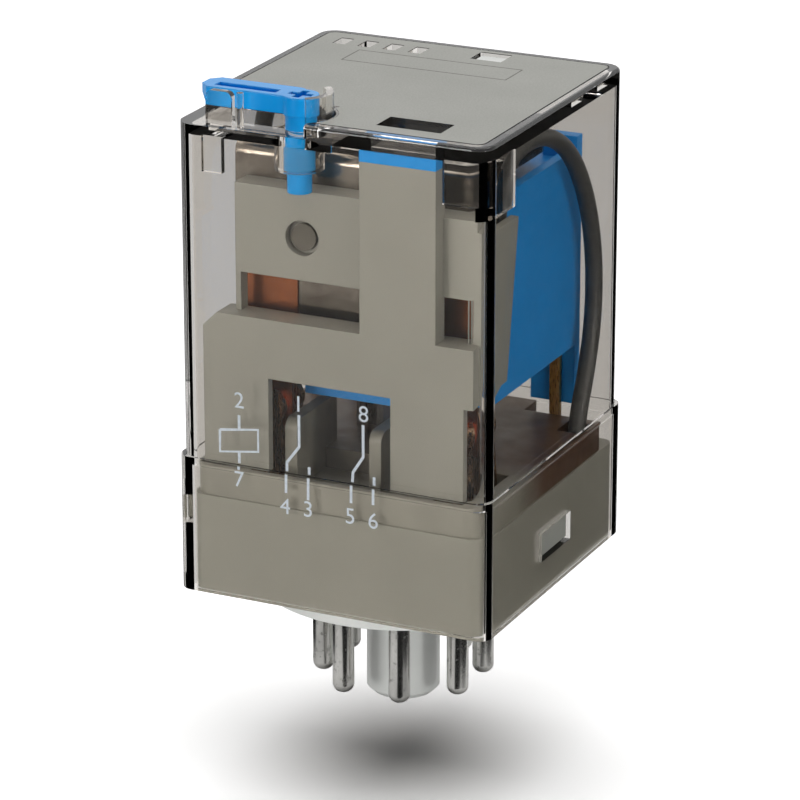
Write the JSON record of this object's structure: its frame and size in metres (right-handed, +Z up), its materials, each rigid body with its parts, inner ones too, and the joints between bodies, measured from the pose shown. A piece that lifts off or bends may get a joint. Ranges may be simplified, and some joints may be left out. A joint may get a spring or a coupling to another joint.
{
  "type": "plug in relay",
  "caption": "Square plug-in relay with an octal base, clear cover, visible changeover contacts, coil and a blue test button.",
  "frame": {"origin": "centre of the seating face, the underside of the octal disc", "axes": "+Z up through the cover, away from the socket; +X to the right along the front face; front at -Y"},
  "size_m": [0.036, 0.036, 0.0706],
  "materials": {
    "clear_cover": "clear, polished, with a faint warm smoke tint",
    "base_grey": "fine satin",
    "frame_grey": "satin",
    "carrier_grey": "satin",
    "pin_metal": "tin plated, solder dipped",
    "fixed_blade": "silver plated",
    "link_brass": "stamped",
    "blade_bronze": "rolled bronze",
    "contact_copper": "polished",
    "soft_iron": "dull zinc",
    "armature_steel": "polished dark plating",
    "spring_steel": "bright",
    "bobbin_blue": "satin",
    "winding_copper": "enamelled",
    "lead_grey": "matte",
    "flag_blue": "bright",
    "button_blue": "polished"
  },
  "bodies": {
    "relay_body": {"cover": "clear_cover", "octal_base": "base_grey", "base_block": "frame_grey", "contact_frame": "frame_grey", "pin_1": "pin_metal", "pin_2": "pin_metal", "pin_3": "pin_metal", "pin_4": "pin_metal", "pin_5": "pin_metal", "pin_6": "pin_metal", "pin_7": "pin_metal", "pin_8": "pin_metal", "closed_contact_left": "fixed_blade", "closed_contact_right": "fixed_blade", "open_contact_left": "fixed_blade", "open_contact_right": "fixed_blade", "coil_terminal_left": "link_brass", "coil_terminal_right": "link_brass", "common_link_left": "link_brass", "common_link_right": "link_brass", "yoke": "soft_iron", "coil_core": "soft_iron", "coil_bobbin": "bobbin_blue", "coil_winding": "winding_copper", "coil_wire_left": "winding_copper", "coil_wire_right": "winding_copper", "return_spring": "spring_steel", "spring_screw": "spring_steel", "flex_lead_left": "lead_grey", "flex_lead_right": "lead_grey"},
    "armature_group": {"armature": "armature_steel", "contact_carrier": "carrier_grey", "carrier_rivet": "spring_steel", "indicator_flag": "flag_blue", "moving_blade_left": "blade_bronze", "moving_blade_right": "blade_bronze", "moving_contact_left": "contact_copper", "moving_contact_right": "contact_copper", "blade_rivet_left": "spring_steel", "blade_rivet_right": "spring_steel"},
    "button_group": {"test_button": "button_blue"}
  },
  "joints": [
    {"name": "armature_swing", "type": "hinge", "parent": "relay_body", "child": "armature_group", "pos_m": [0, 0.0095, 0.0471], "axis": [1, 0, 0], "range_deg": [0, 3.6], "stiffness_Nm_per_rad": 0.1, "springref_deg": -1.72, "deforming": ["flex_lead_left", "flex_lead_right"]},
    {"name": "test_button_push", "type": "slide", "parent": "relay_body", "child": "button_group", "axis": [0, 0, -1], "range_m": [0, 0.0014]}
  ],
  "couplings": [
    {"joint": "test_button_push", "follows": "armature_swing", "m_per_rad": 0.02228}
  ]
}
